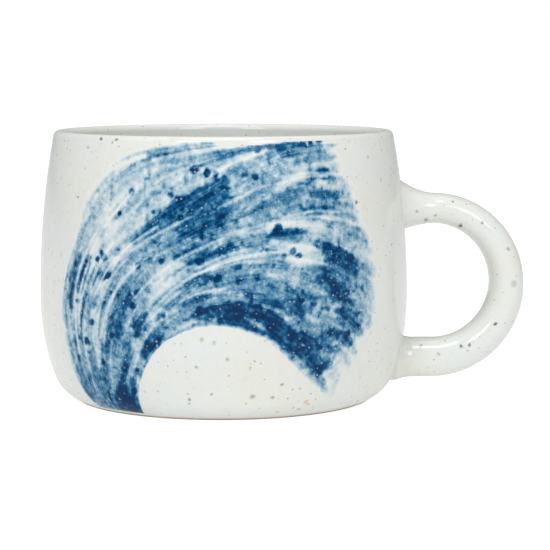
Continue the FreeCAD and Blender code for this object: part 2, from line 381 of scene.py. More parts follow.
def glaze_colour(tree, place, grit=1.0):
    """Colour of the bare glaze: slow milky clouds, fine mottle, and three sizes of iron grit."""
    cloudy = remap(tree, noise(tree, place, 17 * MM, 3.0), 0.38, 0.68)
    mottled = remap(tree, noise(tree, place, 1.3 * MM), 0.5, 0.8, high=0.35)
    colour = mix_colours(tree, cloudy, GLAZE_WHITE, GLAZE_WARM)
    colour = mix_colours(tree, mottled, colour, GLAZE_THIN)
    colour = specks(tree, place, 4.6, 1.1, 0.25 * grit, HALO, colour, soften=1.0, strength=0.5)
    colour = specks(tree, place, 2.2, 0.34, 0.8 * grit, IRON_TAN, colour, soften=0.7, strength=0.9)
    return specks(tree, place, 4.4, 0.46, 0.5 * grit, IRON_DARK, colour, soften=0.7, strength=0.85)


def blemish(tree, place, colour, spot, radius, tint, strength):
    """One bleed of iron at a spot in mm: a core of its tint that fades outwards."""
    gap = add(tree, "ShaderNodeVectorMath", {0: place, 1: [c * MM for c in spot]}, operation="DISTANCE")
    core = remap(tree, gap.outputs["Value"], radius * 1.3 * MM, radius * 0.3 * MM, high=strength)
    return mix_colours(tree, core, colour, linear(tint))


# The bleeds that stand out: (around, height, radius in mm, colour, strength). They sit on the front of the
# wall: two dark ones under the lip, a greenish one in the brushwork, and the grit of the white opening.
WALL_BLEEDS = (
    (-38.2, 73.0, 0.55, "3E382C", 0.9), (-32.3, 73.0, 0.5, "3E382C", 0.9), (-43.2, 70.6, 0.5, "8F8F86", 0.6),
    (-7.5, 71.6, 0.6, "B9A55C", 0.7), (24.4, 40.2, 0.5, "6F7A2E", 0.8), (39.5, 56.5, 0.6, "5A6670", 0.8),
    (24.2, 4.8, 0.8, "C79A74", 0.6), (25.2, 4.0, 0.4, "9A6A42", 0.6), (-5.8, 22.6, 0.6, "A39C7C", 0.7),
    (-2.6, 21.8, 0.6, "9A968A", 0.6), (0.8, 17.4, 0.6, "8E8A62", 0.6), (-7.4, 15.2, 0.5, "8A8574", 0.7),
    (-10.0, 14.0, 0.4, "9C9A90", 0.6), (-18.7, 8.3, 0.5, "A6A49A", 0.6), (-22.7, 8.0, 0.5, "C9A88E", 0.6),
    (-3.5, 8.0, 0.4, "77756C", 0.8), (-9.8, 6.4, 0.45, "7E7B6C", 0.8), (-10.0, 5.2, 0.4, "77756C", 0.7),
    (7.8, 7.2, 0.75, "84857C", 0.7), (13.5, 6.7, 0.55, "8C8C84", 0.7), (16.0, 10.2, 0.5, "97968E", 0.6),
    (21.4, 8.8, 0.5, "97968E", 0.6), (6.8, 14.6, 0.4, "9C9A90", 0.6), (8.0, 16.8, 0.35, "8C8A80", 0.7),
    (22.8, 2.7, 0.6, "8C8C84", 0.6), (20.8, 3.3, 0.4, "97968E", 0.6), (-29.6, 25.8, 0.4, "6B6E68", 0.4),
    (-52.0, 42.0, 0.7, "A3A69C", 0.4), (47.0, 68.0, 0.6, "A9ABA2", 0.6), (52.5, 61.6, 0.6, "8E8F88", 0.6),
)
# The same on the handle, as (x, height, radius, colour, strength) on its near side.
HANDLE_BLEEDS = (
    (65.3, 47.6, 0.62, "453C2E", 0.95), (55.8, 49.2, 0.55, "98865C", 0.8), (53.0, 51.8, 0.5, "A38F62", 0.7),
    (58.4, 50.6, 0.5, "98865C", 0.8), (71.3, 48.6, 0.45, "8A7C5A", 0.7), (80.2, 31.6, 1.0, "A6A7A2", 0.6),
    (75.2, 20.4, 0.5, "453C2E", 0.95), (65.8, 14.3, 0.5, "4F4636", 0.9), (68.0, 14.6, 0.5, "4F4636", 0.9),
    (59.4, 12.0, 0.6, "97968E", 0.6), (78.6, 41.2, 0.6, "8E8B7E", 0.7), (61.6, 15.4, 0.4, "97968E", 0.6),
)


def wall_place(around_mm, height_mm):
    """Place on the finished wall, in mm, from a distance around it from the front and a height."""
    turned_by = around_mm / belly_radius
    reach_out = float(wall_radius(height_mm))
    return (reach_out * math.sin(turned_by), -reach_out * math.cos(turned_by), height_mm)


def wobbled(tree, place):
    """The place moved about by a fine noise, so that round bleeds come out ragged."""
    moves = noise(tree, place, 0.9 * MM, output="Color")
    centred = vector_calc(tree, "SUBTRACT", moves, (0.5, 0.5, 0.5))
    return vector_calc(tree, "MULTIPLY_ADD", centred, (MM, MM, MM), place)


def wall_bleeds(tree, place, colour):
    """The bleeds of the wall over a colour."""
    place = wobbled(tree, place)
    for around_mm, height_mm, size, tint, strength in WALL_BLEEDS:
        colour = blemish(tree, place, colour, wall_place(around_mm, height_mm), size, tint, strength)
    return colour


def glass_shader(tree, place, colour, pinholes=0.3, shine=GLASS_SHINE):
    """Glossy glass over the colour, with the faint orange peel and pinholes of a fired glaze."""
    peel = noise(tree, place, 3.2 * MM)
    pits = add(tree, "ShaderNodeTexVoronoi", {"Vector": place, "Scale": 1 / (3.4 * MM)})
    relief = calc(tree, "MULTIPLY_ADD", remap(tree, pits.outputs["Distance"], 0.02, 0.09), pinholes, peel)
    bump = add(tree, "ShaderNodeBump", {"Height": relief, "Distance": 0.03 * MM, "Strength": 0.55})
    finish_with(tree, colour, Roughness=remap(tree, peel, 0.3, 0.7, 0.08, 0.16), IOR=GLASS_IOR,
                Specular_IOR_Level=shine, Normal=bump.outputs[0])


def new_material(name):
    """An empty node material and its Object coordinates."""
    material = bpy.data.materials.new(name)
    material.use_nodes = True
    material.node_tree.nodes.clear()
    place = add(material.node_tree, "ShaderNodeTexCoord").outputs["Object"]
    return material, material.node_tree, place


# Milky gloss glaze, poured and dipped: an even soft shine, warm white with iron specks.
white_glaze, tree, place = new_material("milky_stoneware_glaze")
glass_shader(tree, place, wall_bleeds(tree, place, glaze_colour(tree, place)))

# The same glaze on the handle, with the handle's own bleeds on its near side.
handle_glaze, tree, place = new_material("milky_stoneware_glaze_on_the_handle")
flat = vector_calc(tree, "MULTIPLY", wobbled(tree, place), (1, 0, 1))
speckled = glaze_colour(tree, place)
for x, z, size, tint, strength in HANDLE_BLEEDS:
    speckled = blemish(tree, flat, speckled, (x, 0, z), size, tint, strength)
near_side = calc(tree, "LESS_THAN", separate(tree, place)["Y"], 0.0)
glass_shader(tree, place, mix_colours(tree, near_side, glaze_colour(tree, place), speckled))
print("materials", white_glaze.name, handle_glaze.name)

# %% [markdown]
# ## Cobalt brushwork
# The blue is a cobalt stain brushed on in one loaded sweep from the foot at the left, over the top, and
# down to the right. Where the brush was wet the colour is navy, where it ran dry the glaze shows through
# between the bristle marks, and the fired stain breaks into light and dark grains. Its load is painted
# into the mesh further down as an attribute, with the place along and across the stroke, and the material
# adds what is too fine for the mesh: bristle streaks and grains.

# %% Cobalt material
HEAVIEST = 1.15     # the largest load that the colours reach
COBALT_STEPS = (  # load of pigment, and its colour through the glass
    (0.00, "E1E4E1"), (0.10, "D2DADC"), (0.25, "B3C7D1"), (0.40, "90AFC1"), (0.55, "6C97B0"),
    (0.70, "467C9E"), (0.85, "165D88"), (1.00, "003F6C"), (1.15, "002C55"),
)
BRISTLE_LENGTH, BRISTLE_WIDTH = 26.0, 0.75   # mm along and across the sweep
GRAIN = 0.5                                  # mm

cobalt, tree, place = new_material("cobalt_stain_under_glass")
load = add(tree, "ShaderNodeAttribute", attribute_name="load").outputs["Fac"]
sweep_place = add(tree, "ShaderNodeAttribute", attribute_name="sweep").outputs["Vector"]
stretched = vector_calc(tree, "MULTIPLY", sweep_place, (1 / BRISTLE_LENGTH, 1 / BRISTLE_WIDTH, 1))
streak = remap(tree, noise(tree, stretched, 1.0, 3.0, Roughness=0.65), 0.3, 0.7, 0.80, 1.18)
grain = remap(tree, noise(tree, place, GRAIN * 2 * MM, Roughness=0.7), 0.3, 0.7, -0.16, 0.18)
blotch = remap(tree, noise(tree, place, 2.4 * MM), 0.3, 0.7, -0.14, 0.14)
held = calc(tree, "MULTIPLY", load, 2.2, clamp=True)
broken = calc(tree, "MULTIPLY", calc(tree, "ADD", grain, blotch), held)
shown = calc(tree, "ADD", calc(tree, "MULTIPLY", load, streak), broken)
ramp = add(tree, "ShaderNodeValToRGB", {0: calc(tree, "DIVIDE", shown, HEAVIEST)})
while len(ramp.color_ramp.elements) < len(COBALT_STEPS):
    ramp.color_ramp.elements.new(0.5)
for element, (step, colour) in zip(ramp.color_ramp.elements, COBALT_STEPS):
    element.position = step / HEAVIEST
    element.color = linear(colour)
bare = glaze_colour(tree, place)
inked = calc(tree, "MULTIPLY", load, 8.0, clamp=True)
blue = mix_colours(tree, inked, bare, ramp.outputs[0])
blue = specks(tree, place, 1.25, 0.36, 0.6, linear("C9DBE8"), blue, soften=1.0, strength=0.85)
blue = mix_colours(tree, inked, bare, blue)
blue = specks(tree, place, 2.4, 0.34, 0.5, linear("123A57"), blue, soften=0.7, strength=0.7)
glass_shader(tree, place, wall_bleeds(tree, place, blue), pinholes=0.0, shine=STAIN_SHINE)
print("material", cobalt.name, "with", len(tree.nodes), "nodes")

# %% [markdown]
# ## Bare clay and slip
# The foot is wiped clean of glaze so that the mug doesn't stick to the kiln shelf. There the stoneware
# shows: a warm toasted brown, matt, with sand in it and the rings that the trimming tool left. The slip
# that joins the handle is the same clay stirred to a cream, so it is smoother and a little lighter.

# %% Clay materials
def fired_clay(name, body, toasted, grit_size, rough):
    """Matt fired clay: two tones of body, dark sand and a grainy relief."""
    material, tree, place = new_material(name)
    tone = noise(tree, place, 6 * MM, 4.0)
    colour = mix_colours(tree, tone, linear(body), linear(toasted))
    colour = specks(tree, place, 1.2, grit_size, 0.6, linear("5A4634"), colour, strength=0.8)
    sand = noise(tree, place, grit_size * 2 * MM, 3.0)
    bump = add(tree, "ShaderNodeBump", {"Height": sand, "Distance": 0.08 * MM, "Strength": 0.5})
    finish_with(tree, colour, Roughness=rough, IOR=1.45, Normal=bump.outputs[0])
    return material


# Iron-bearing stoneware, thrown and wiped: dry, sandy and toasted.
stoneware = fired_clay("toasted_stoneware", "B9A68E", "A4886A", 0.22, 0.82)
# Joining slip, brushed in wet: the same clay without its coarse sand.
joining_slip = fired_clay("fired_joining_slip", "C4B49C", "B49C7F", 0.12, 0.7)
print("materials", stoneware.name, joining_slip.name)

# %% [markdown]
# ## The thrown cup
# Wall, floor and foot ring are one piece of clay. Almost all of it is under glaze, but the foot ring shows
# as a thin brown line, and the whole underside when the mug is lifted. Its line starts in the middle of
# the recess, runs out through the trimming rings and over the foot ring, up the wall and down inside.

# %% Clay cup
TRIM_RINGS = 4
TRIM_DEPTH = 0.15
CLAY_PITCH = 2.0        # rows under the glaze can be coarse
UNDERSIDE_PITCH = 0.3
CLAY_COLUMNS = 220


def underside_line():
    """From the axis to the clay's edge under the glaze: trimmed recess, ring face and bevel."""
    ring_outer = belly_radius - foot_inset - foot_bevel
    ring_inner = ring_outer - foot_ring_width
    recess_edge = ring_inner - recess_slope
    radii = np.linspace(0, recess_edge, math.ceil(recess_edge / UNDERSIDE_PITCH))
    rings = (0.5 - 0.5 * np.cos(2 * math.pi * radii / recess_edge * TRIM_RINGS)) * TRIM_DEPTH
    end = arc_points(heel_centre, heel_radius - glaze, -heel_angle, -heel_angle + 1, 1.0)[:1]
    corner = 0.25       # the ring's edges are softened by the sponge
    ring_face = [(ring_inner - corner, corner), (ring_inner, corner * 0.25), (ring_inner + corner, 0),
                 (ring_outer - corner, 0), (ring_outer, corner * 0.2)]
    return join(np.column_stack([radii, recess_depth + rings]), ring_face, end)


clay_line = join(underside_line(), outside_line(glaze, CLAY_PITCH, 0.4), inside_line(glaze, CLAY_PITCH, 0.4))
thrown_cup = turn("thrown_cup", clay_line, CLAY_COLUMNS, stoneware)
face_outwards(thrown_cup)

# %% [markdown]
# ## The glaze coats
# Each coat is a closed shell: the finished surface one way and the clay's surface back. The outside coat
# runs on over the crest of the lip and dips just under the liner, so the two read as one skin, as they
# do when the second dip melts into the first. The rows are close together on the lip, where the light
# catches the round.

# %% Outside and liner coats
WALL_PITCH = 0.95
OUTSIDE_COLUMNS, LINER_COLUMNS = 336, 300
CREST_OVERLAP = 132.0   # degrees around the lip at which the outside coat ends
TUCK = 0.05             # how far that end dips under the liner


def tucked(line, from_angle):
    """Dip the last stretch of a line over the lip towards the lip's centre."""
    away = line - np.array(lip_centre)
    turned_by = np.degrees(np.arctan2(away[:, 1], away[:, 0]))
    share = np.clip((turned_by - from_angle) / (CREST_OVERLAP - from_angle), 0, 1)
    share = share * (line[:, 1] > lip_centre[1])
    return line - away * (share * TUCK / lip_radius)[:, None]


outer_skin = tucked(outside_line(0, WALL_PITCH, past_crest=CREST_OVERLAP), CREST_OVERLAP - 6)
outer_back = outside_line(glaze, WALL_PITCH * 2, 0.3, past_crest=CREST_OVERLAP)[::-1]
glazed_outside = turn("glazed_outside", join(outer_skin, outer_back, outer_skin[:1]), OUTSIDE_COLUMNS,
                      white_glaze)
face_outwards(glazed_outside)

inner_skin = inside_line(0, WALL_PITCH * 1.1, from_crest=CREST_OVERLAP - 5)
inner_back = inside_line(glaze, WALL_PITCH * 2.4, 0.3, from_crest=CREST_OVERLAP - 5)[::-1]
glazed_liner = turn("glazed_liner", join(inner_skin, inner_back, inner_skin[:1]), LINER_COLUMNS, white_glaze)
face_outwards(glazed_liner)

# %% [markdown]
# ## The sweep of the brush
# The stroke is a fan of bristles that starts at the left of the foot, opens out as it climbs, turns over
# under the lip and comes down at the right. Four lanes of the brush are drawn on the wall, each
# through nine places given as (millimetres around the wall from the front, height). Between them a smooth
# curve gives any place from s, along the sweep, and t, across it from the inner edge to the outer one.

# %% Lanes
LANES = np.array((
    ((-26, 1), (-23.5, 11), (-17, 20.5), (-8, 25.5), (1, 26), (10, 23), (18, 16.5), (25, 9), (31, 1)),
    ((-31, 1), (-28, 14), (-22, 27), (-12, 37.5), (0, 43), (12, 45), (24, 43.5), (35, 39.5), (47, 32)),
    ((-38, 1), (-38, 17), (-35, 32), (-27, 43), (-14, 51.5), (-2, 58), (8, 64), (20, 68), (35, 69)),
    ((-45, 1), (-50, 14), (-52, 29), (-49, 44), (-42, 59), (-30, 69), (-10, 72.5), (12, 73), (36, 73)),
), float)
SWEEP_LENGTH, SWEEP_WIDTH = 140.0, 45.0   # mm, of the middle lane and across the lanes


def smooth_between(knots, u):
    """Catmull-Rom curve through knots, which lie on the first axis, at places u from 0 to 1."""
    count = len(knots) - 1
    at = np.clip(u, 0, 1) * count
    i = np.minimum(at.astype(int), count - 1)
    k = (at - i)[:, None]
    ends = np.concatenate([[2 * knots[0] - knots[1]], knots, [2 * knots[-1] - knots[-2]]])
    if ends.ndim == 3:
        a, b, c, d = (ends[i + n, np.arange(len(i))] for n in range(4))
    else:
        a, b, c, d = (ends[i + n] for n in range(4))
    return 0.5 * (2 * b + (c - a) * k + (2 * a - 5 * b + 4 * c - d) * k**2 + (3 * b - a - 3 * c + d) * k**3)


def on_wall(s, t):
    """Place on the wall, (around, height) in mm, of a place on the sweep, which runs on past its ends."""
    s, t = np.atleast_1d(s).astype(float), np.atleast_1d(t).astype(float)
    step = 0.02
    lanes = np.array([smooth_between(lane, s) for lane in LANES])
    inner_s = np.clip(s, 0, 1)
    back = np.where(s > 0.5, -step, step)
    beyond = (s - inner_s) / back
    before = np.array([smooth_between(lane, inner_s + back) for lane in LANES])
    lanes = lanes + (before - lanes) * beyond[None, :, None]
    place = smooth_between(lanes, t)
    inner_t = np.clip(t, 0, 1)
    back = np.where(t > 0.5, -step, step)
    inside = smooth_between(lanes, inner_t + back)
    return place + (inside - place) * ((t - inner_t) / back)[:, None]


def on_sweep(places, rounds=7):
    """The (s, t) of places on the wall: the nearest of a coarse set of tries, then Newton's steps."""
    tries = np.array([(s, t) for s in np.linspace(-0.04, 1.1, 70) for t in np.linspace(-0.1, 1.1, 32)])
    spots = on_wall(tries[:, 0], tries[:, 1])
    found = np.empty((len(places), 2))
    for start in range(0, len(places), 4000):
        part = places[start:start + 4000]
        gap = ((part[:, None] - spots[None])**2).sum(2)
        found[start:start + 4000] = tries[gap.argmin(1)]
    step = 1e-3
    for _ in range(rounds):
        here = on_wall(found[:, 0], found[:, 1])
        ds = (on_wall(found[:, 0] + step, found[:, 1]) - here) / step
        dt = (on_wall(found[:, 0], found[:, 1] + step) - here) / step
        miss = places - here
        turn_by = ds[:, 0] * dt[:, 1] - ds[:, 1] * dt[:, 0]
        turn_by = np.where(np.abs(turn_by) < 1.0, np.copysign(1.0, turn_by), turn_by)
        along = (miss[:, 0] * dt[:, 1] - miss[:, 1] * dt[:, 0]) / turn_by
        across = (ds[:, 0] * miss[:, 1] - ds[:, 1] * miss[:, 0]) / turn_by
        found += np.clip(np.column_stack([along, across]), -0.05, 0.05)
        found = np.clip(found, (-0.1, -0.25), (1.2, 1.25))
    return found


print("middle of the sweep lies at", np.round(on_wall(0.5, 0.5)[0], 1), "mm")

# %% [markdown]
# ## What the brush left
# A pale wash goes down first, at levels given on a coarse grid over the sweep. Then come the marks, in
# families. What is given for a family is how many it has, where on the sweep they may start, and how
# long, loaded and wide they are. Each mark itself is drawn at random along the bristles. The seed is fixed,
# so the sweep always comes out the same. A table of single marks would give more say over each, but
# families are quicker to read and to change.

# %% Families of marks
# (count, s range, t range, length range in mm, load range, width range in mm)
BAND_FAMILIES = (
    (7, (0.00, 0.03), (0.02, 0.42), (3, 6), (1.0, 1.15), (3.2, 4.4)),       # where the brush was set down
    (8, (0.00, 0.04), (0.45, 0.95), (5, 12), (0.6, 0.8), (1.8, 3.0)),
    (30, (0.06, 0.32), (0.08, 0.98), (5, 15), (0.5, 0.98), (1.4, 2.6)),     # the climb at the left
    (16, (0.36, 0.84), (0.03, 0.10), (10, 20), (0.95, 1.15), (2.0, 3.4)),   # the inner edge
    (30, (0.30, 0.80), (0.15, 0.58), (7, 18), (0.55, 0.95), (1.3, 2.5)),    # the middle
    (10, (0.42, 0.62), (0.56, 0.74), (12, 20), (0.72, 1.02), (3.2, 4.6)),   # the heavy band over it
    (14, (0.76, 0.88), (0.06, 0.40), (8, 13), (0.8, 1.02), (3.0, 4.4)),     # the end, pressed down
    (26, (0.66, 0.92), (0.40, 0.96), (7, 17), (0.5, 0.98), (1.4, 2.4)),     # where it lifts at the right
    (16, (0.36, 0.72), (0.80, 0.99), (6, 14), (0.3, 0.55), (1.1, 1.8)),     # the dry outer edge
)
DOT_FAMILY = (70, (0.06, 0.92), (0.05, 0.88), (0, 0), (0.6, 1.1), (1.2, 2.2))
GAP_FAMILY = (52, (0.06, 0.90), (0.12, 0.98), (9, 28), (0.45, 0.95), (1.0, 2.4))
SCRAPE_FAMILY = (34, (0.08, 0.84), (0.12, 0.96), (12, 34), (0.7, 1.0), (0.7, 0.9))
# rows are t from 0 to 1, columns s from 0 to 1
WASH_T = (0.0, 0.33, 0.67, 0.85, 1.0)
WASH_S = (0.0, 0.1, 0.25, 0.4, 0.55, 0.7, 0.82, 0.92, 1.0)
WASH = np.array((
    (0.60, 0.42, 0.44, 0.46, 0.55, 0.55, 0.50, 0.32, 0.22),
    (0.60, 0.42, 0.44, 0.42, 0.46, 0.42, 0.42, 0.38, 0.26),
    (0.52, 0.46, 0.46, 0.40, 0.50, 0.42, 0.34, 0.32, 0.22),
    (0.50, 0.46, 0.44, 0.36, 0.24, 0.30, 0.24, 0.30, 0.20),
    (0.38, 0.32, 0.34, 0.26, 0.16, 0.18, 0.12, 0.16, 0.10),
))
MARK_SEED = 12


def draw_family(rng, family):
    """Marks of one family: (path on the wall, load at its start, load at its end, width in mm)."""
    count, s_range, t_range, lengths, loads, widths = family
    marks = []
    for _ in range(count):
        span = rng.uniform(*lengths) / SWEEP_LENGTH
        s = rng.uniform(*s_range) + span * np.linspace(0, 1, 4)
        t = rng.uniform(*t_range) + np.linspace(0, 1, 4) * rng.uniform(-0.025, 0.025)
        first = rng.uniform(*loads)
        last = np.clip(first + rng.uniform(-0.2, 0.1), *loads)
        marks.append((on_wall(s, t), first, last, rng.uniform(*widths)))
    return marks


rng = np.random.default_rng(MARK_SEED)
BANDS = [band for family in BAND_FAMILIES for band in draw_family(rng, family)]
DOTS, GAPS, SCRAPES = (draw_family(rng, family) for family in (DOT_FAMILY, GAP_FAMILY, SCRAPE_FAMILY))
print(len(BANDS), "bands,", len(DOTS), "dots,", len(GAPS), "gaps,", len(SCRAPES), "scrapes")

# %% [markdown]
# ## Painting the film
# The film is a patch of the same lathe tree with about a third of a millimetre between its rows and
# columns, fine enough for the soft edge of a wet stroke. numpy finds each point's place on the sweep and
# lays the marks on it, letting the bristles fray every edge. Faces that no pigment reached are deleted,
# and a Solidify modifier gives what is left the film's thickness.

# %% Brush functions
def value_noise(x, y, seed):
    """Smooth random field from -1 to 1 with one value per unit square."""
    table = np.random.default_rng(seed).uniform(-1, 1, (256, 256))
    i, j = np.floor(x).astype(int), np.floor(y).astype(int)
    u, v = x - i, y - j
    u, v = u * u * (3 - 2 * u), v * v * (3 - 2 * v)
    near, far = i % 256, (i + 1) % 256
    low_row, high_row = j % 256, (j + 1) % 256
    lower = table[near, low_row] * (1 - u) + table[far, low_row] * u
    upper = table[near, high_row] * (1 - u) + table[far, high_row] * u
    return lower * (1 - v) + upper * v


def soft_step(x):
    x = np.clip(x, 0, 1)
    return x * x * (3 - 2 * x)


def reach(places, line):
    """Distance of every place from a line of places in mm, and how far along it is nearest, from 0 to 1."""
    best = np.full(len(places), 1e9)
    along = np.zeros(len(places))
    for n, (a, b) in enumerate(zip(line[:-1], line[1:])):
        step = b - a
        k = np.clip(((places - a) @ step) / max(step @ step, 1e-9), 0, 1)
        gap = np.hypot(*(places - a - k[:, None] * step).T)
        nearer = gap < best
        best[nearer] = gap[nearer]
        along[nearer] = (n + k[nearer]) / (len(line) - 1)
    return best, along


def mark(places, path, width, fray, soft):
    """Which places a mark can reach, how fully it covers each from 0 to 1, and how far along it each lies."""
    line = smooth_between(np.array(path, float), np.linspace(0, 1, 4 * len(path)))
    margin = width + 2.5
    near = np.all((places > line.min(0) - margin) & (places < line.max(0) + margin), axis=1)
    gap, along = reach(places[near], line)
    ends = 0.75 + 0.25 * soft_step(np.minimum(along, 1 - along) / 0.15)
    half = width / 2 * ends * (1 + 0.5 * fray[near])
    return near, soft_step((half + soft * 0.5 - gap) / soft), along


def wash_level(s, t):
    """Pale colour of the whole sweep, between the values of the WASH table."""
    columns = np.array([np.interp(s, WASH_S, row) for row in WASH])
    at = np.interp(t, WASH_T, np.arange(len(WASH_T)))
    i = np.minimum(at.astype(int), len(WASH_T) - 2)
    k = soft_step(at - i)
    n = np.arange(len(s))
    return columns[i, n] * (1 - k) + columns[i + 1, n] * k


BAND_SOFT, GAP_SOFT = 1.4, 1.8     # mm over which a mark's edge fades into the wet glaze
LONG_BRISTLES, FINE_BRISTLES = (26, 1.7), (11, 0.8)     # mm along and across the sweep
CLOT, PATCH = 1.15, 3.1     # mm
GAP_STRENGTH = 0.74
DOT_WEIGHT = 1.15
SCRAPE_SOFT, SCRAPE_STRENGTH = 0.7, 0.7


def paint(places, s, t):
    """Load of pigment at places on the wall."""
    along_mm, across_mm = s * SWEEP_LENGTH, t * SWEEP_WIDTH
    bristle = (0.55 * value_noise(along_mm / LONG_BRISTLES[0], across_mm / LONG_BRISTLES[1], 3)
               + 0.45 * value_noise(along_mm / FINE_BRISTLES[0], across_mm / FINE_BRISTLES[1], 4))
    clots = value_noise(places[:, 0] / CLOT, places[:, 1] / CLOT, 5)
    coarse = value_noise(places[:, 0] / PATCH, places[:, 1] / PATCH, 6)
    fray = 0.6 * bristle + 0.4 * clots
    load = 1.1 * wash_level(s, t) * (1 + 0.6 * bristle + 0.25 * coarse)
    load += 0.30 * soft_step((clots - 0.38) / 0.4) * soft_step(load / 0.3)
    load -= 0.16 * soft_step((-clots - 0.35) / 0.4) * soft_step(load / 0.3)
    for path, first, last, width in GAPS:
        near, cover, along = mark(places, path, width, fray, GAP_SOFT)
        load[near] *= 1 - GAP_STRENGTH * cover * (first + (last - first) * along)
    for path, first, last, width in BANDS:
        near, cover, along = mark(places, path, width, fray, BAND_SOFT)
        level = (first + (last - first) * along) * (1 + 0.10 * coarse[near] + 0.16 * clots[near])
        load[near] += (level - load[near]) * cover * np.where(level > load[near], 1.0, 0.25)
    for path, level, _, width in DOTS:
        gap = np.hypot(*(places - path[0]).T)
        cover = soft_step((width / 2 * (1 + 0.3 * clots) + 0.3 - gap) / 0.6)
        load += np.maximum(DOT_WEIGHT * level - load, 0) * cover
    for path, strength, _, width in SCRAPES:
        near, cover, along = mark(places, path, width, fray, SCRAPE_SOFT)
        load[near] *= 1 - SCRAPE_STRENGTH * strength * cover * (1 - 0.5 * np.maximum(coarse[near], 0))
    return load * paint_edge(s, t, bristle, clots)


def paint_edge(s, t, bristle, clots):
    """1 inside the sweep, falling softly to 0 at its edges, and frayed where the brush lifted."""
    lifted = soft_step((s - 0.62) / 0.12) * soft_step((t - 0.3) / 0.2)
    dry = soft_step((t - 0.8) / 0.15) * soft_step(s / 0.2)
    ragged = np.maximum(np.maximum(lifted, dry * 0.6), soft_step((s - 0.85) / 0.1))
    inner, outer = t * SWEEP_WIDTH, (1 - t) * SWEEP_WIDTH
    depth = np.minimum(np.minimum(inner, outer), (1 - s) * SWEEP_LENGTH)
    depth = depth + 0.15 * clots + ragged * 4.2 * bristle
    return soft_step((depth + 0.5 + 0.4 * ragged) / (1.2 + 6.5 * ragged))


print("brush functions ready")

# %% Brushed film
FILM_PITCH = 0.37
FILM_PROUD = 0.02       # the film's surface stands this far over the glaze around it
FILM_FROM, FILM_TO = 1.2, 73.0       # heights
FILM_LEFT, FILM_RIGHT = -54.0, 51.0  # mm around the wall from the front
BARE = 0.012            # load under which no film is left
FEWEST_FACES = 60       # islands with fewer are no mark of a brush


def film_patch():
    """The patch of wall that the brush can reach, at the film's fine pitch."""
    line = outside_line(-FILM_PROUD, FILM_PITCH, FILM_PITCH)
    line = line[(line[:, 1] > FILM_FROM) & (line[:, 1] < FILM_TO)]
    columns = int((FILM_RIGHT - FILM_LEFT) / FILM_PITCH)
    return turn("brushed_arch", line, columns, cobalt, math.degrees(FILM_LEFT / belly_radius),
                math.degrees(FILM_RIGHT / belly_radius))


brushed_arch = film_patch()
mesh = brushed_arch.data
corners = np.empty(len(mesh.vertices) * 3)
mesh.vertices.foreach_get("co", corners)
x, y, z = corners.reshape(-1, 3).T / MM
wall_places = np.column_stack([np.arctan2(x, -y) * belly_radius, z])
sweep = on_sweep(wall_places)
painted = np.clip(paint(wall_places, sweep[:, 0], sweep[:, 1]), 0, 1.1)
mesh.attributes.new("load", "FLOAT", "POINT").data.foreach_set("value", painted.astype(np.float32))
across = np.column_stack([sweep[:, 0] * SWEEP_LENGTH, sweep[:, 1] * SWEEP_WIDTH, np.zeros(len(sweep))])
mesh.attributes.new("sweep", "FLOAT_VECTOR", "POINT").data.foreach_set(
    "vector", across.astype(np.float32).ravel())
print(f"painted {len(painted)} points, mean load {painted.mean():.2f}")

# %% Trim the film and give it thickness
shell = bmesh.new()
shell.from_mesh(mesh)
bare_faces = [f for f in shell.faces if all(painted[v.index] < BARE for v in f.verts)]
bmesh.ops.delete(shell, geom=bare_faces, context="FACES")


def keep_large_islands(shell, smallest):
    """Delete islands of fewer faces than smallest, which are too small to be a mark of the brush."""
    seen = set()
    small = []
    for first in shell.faces:
        if first in seen:
            continue
        island, front = [first], [first]
        seen.add(first)
        while front:
            face = front.pop()
            for edge in face.edges:
                for other in edge.link_faces:
                    if other not in seen:
                        seen.add(other)
                        island.append(other)
                        front.append(other)
        if len(island) < smallest:
            small += island
    bmesh.ops.delete(shell, geom=small, context="FACES")


keep_large_islands(shell, FEWEST_FACES)
pinched = [v for v in shell.verts if len(v.link_faces) == 2 and len(v.link_edges) == 4]
bmesh.ops.delete(shell, geom=pinched, context="VERTS")
shell.to_mesh(mesh)
shell.free()
outwards = sum(p.normal.dot(Vector((p.center.x, p.center.y, 0))) for p in mesh.polygons[:2000])
if outwards < 0:
    mesh.flip_normals()
solidify = brushed_arch.modifiers.new("film", "SOLIDIFY")
solidify.thickness = film * MM
solidify.offset = -1
solid_mesh = bpy.data.meshes.new_from_object(
    brushed_arch.evaluated_get(bpy.context.evaluated_depsgraph_get()))
brushed_arch.modifiers.clear()
brushed_arch.data = solid_mesh
face_outwards(brushed_arch)

# %% [markdown]
# ## The handle
# A pulled handle is a strap bent into a loop, thinner where it leaves the top and thicker where it comes
# back, with a rounded oval section. It could be a bevelled curve, but a bevel has one section all the way
# and can't spread onto the wall, so a second tree lays a grid along the path: one direction goes round the
# oval, the other along the loop, and the slip that was thumbed into both corners is a flare at the ends.

# %% Handle sizes
handle_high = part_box("clay_handle")[1]
TOP_Z, BOTTOM_Z = 52.2, 10.4
LOOP_RADIUS = (TOP_Z - BOTTOM_Z) / 2
TOP_THICKNESS, BOTTOM_THICKNESS = 7.5, 10.2
TOP_WIDTH, BOTTOM_WIDTH = 11.8, 13.2
OVAL_POWER = 2 / 2.3
middle_thickness = (TOP_THICKNESS + BOTTOM_THICKNESS) / 2
LOOP_X = handle_high.x / MM - LOOP_RADIUS - middle_thickness / 2
LOOP_Z = (TOP_Z + BOTTOM_Z) / 2
ROOT_SINK = 4.6         # how far the path starts inside the wall
ROOT_SPREAD = 0.16      # share of its run over which the slip goes on widening inside the wall
END_DEPTH = 1.2         # how deep the coat's ends stay under the wall's surface


